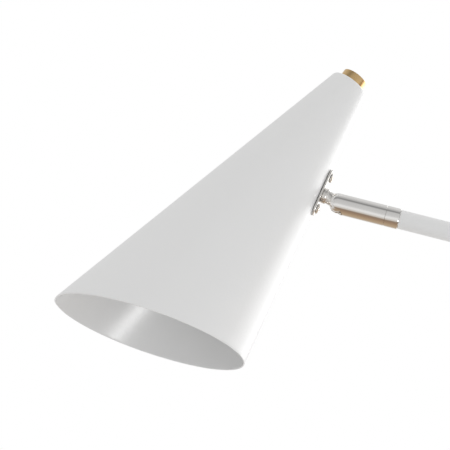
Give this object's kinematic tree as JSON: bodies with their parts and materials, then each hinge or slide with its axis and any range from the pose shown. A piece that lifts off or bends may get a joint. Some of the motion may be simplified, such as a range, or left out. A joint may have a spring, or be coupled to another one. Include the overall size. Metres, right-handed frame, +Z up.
{
  "type": "adjustable arm floor lamp",
  "caption": "Floor lamp with a round weighted base, a straight pole, a tilting and turning arm, and a slanted cone shade held on a ball swivel for aimed reading light.",
  "frame": {"origin": "centre of the base pad's underside, on the floor", "axes": "+Z up along the pole; the arm and the shade reach towards -X in the XZ plane; the thumb knob is on the +Y side"},
  "size_m": [0.9859, 0.27, 1.56],
  "materials": {
    "white_paint": "satin white powder coat",
    "polished_nickel": "polished nickel plate",
    "satin_nickel": "satin nickel plate",
    "brushed_brass": "turned and lacquered brass",
    "zinc_steel": "zinc-plated steel",
    "cast_iron": "rough, black painted",
    "pad_rubber": "matt",
    "black_rubber": "matt",
    "white_plastic": "satin moulded plastic",
    "bulb_metal": "bright rolled aluminium",
    "frosted_glass": "frosted white glass"
  },
  "bodies": {
    "stand": {"base_pad": "pad_rubber", "base_weight": "cast_iron", "base_cover": "white_paint", "base_cable_gland": "black_rubber", "base_nipple": "zinc_steel", "base_washer": "zinc_steel", "base_nut": "zinc_steel", "foot_collar": "white_paint", "lower_pole": "white_paint", "upper_pole": "white_paint", "pole_foot_insert": "zinc_steel", "pole_joint_socket": "zinc_steel", "pole_joint_insert": "zinc_steel", "pole_joint_stud": "zinc_steel", "pole_top_insert": "polished_nickel", "pole_cable": "black_rubber", "swivel_stud": "zinc_steel", "swivel_nut": "zinc_steel"},
    "fork": {"swivel_housing": "polished_nickel", "pivot_fork": "polished_nickel", "friction_washer_near": "white_plastic", "friction_washer_far": "white_plastic", "pivot_bolt": "zinc_steel", "pivot_cap_nut": "polished_nickel"},
    "knob": {"pivot_knob": "brushed_brass"},
    "arm": {"arm_knuckle": "polished_nickel", "arm_tube": "white_paint", "arm_tip_insert": "zinc_steel", "swivel_ferrule": "polished_nickel", "swivel_nipple": "zinc_steel", "arm_cable": "black_rubber"},
    "barrel": {"swivel_barrel": "polished_nickel", "seat_spring": "zinc_steel", "ball_seat": "white_plastic"},
    "ball": {"ball_stud": "satin_nickel", "stud_nut": "zinc_steel"},
    "head": {"shade": "white_paint", "shade_cap": "brushed_brass", "cap_nipple": "zinc_steel", "cap_lock_nut": "zinc_steel", "lamp_holder": "white_plastic", "holder_thread_liner": "brushed_brass", "bulb_screw_base": "bulb_metal", "bulb_glass": "frosted_glass", "holder_lead": "black_rubber", "mounting_plate": "satin_nickel", "plate_screw_upper": "satin_nickel", "plate_screw_lower": "satin_nickel", "screw_nut_upper": "zinc_steel", "screw_nut_lower": "zinc_steel"}
  },
  "joints": [
    {"name": "arm_swivel", "type": "hinge", "parent": "stand", "child": "fork", "pos_m": [0, 0, 1.234], "axis": [0, 0, 1], "range_deg": [-170, 170]},
    {"name": "knob_turn", "type": "hinge", "parent": "fork", "child": "knob", "pos_m": [0, 0, 1.262], "axis": [0, 1, 0], "range_deg": [0, 360]},
    {"name": "arm_tilt", "type": "hinge", "parent": "fork", "child": "arm", "pos_m": [0, 0, 1.262], "axis": [0, 1, 0], "range_deg": [-40, 60]},
    {"name": "barrel_turn", "type": "hinge", "parent": "arm", "child": "barrel", "pos_m": [-0.61459, 0, 1.44055], "axis": [-0.9603, 0, 0.279], "range_deg": [-170, 170]},
    {"name": "head_tilt", "type": "hinge", "parent": "barrel", "child": "ball", "pos_m": [-0.61459, 0, 1.44055], "axis": [0, -1, 0], "range_deg": [-2, 98]},
    {"name": "head_turn", "type": "hinge", "parent": "ball", "child": "head", "pos_m": [-0.62842, 0, 1.44905], "axis": [0.9125, 0, -0.409], "range_deg": [-170, 170]}
  ]
}
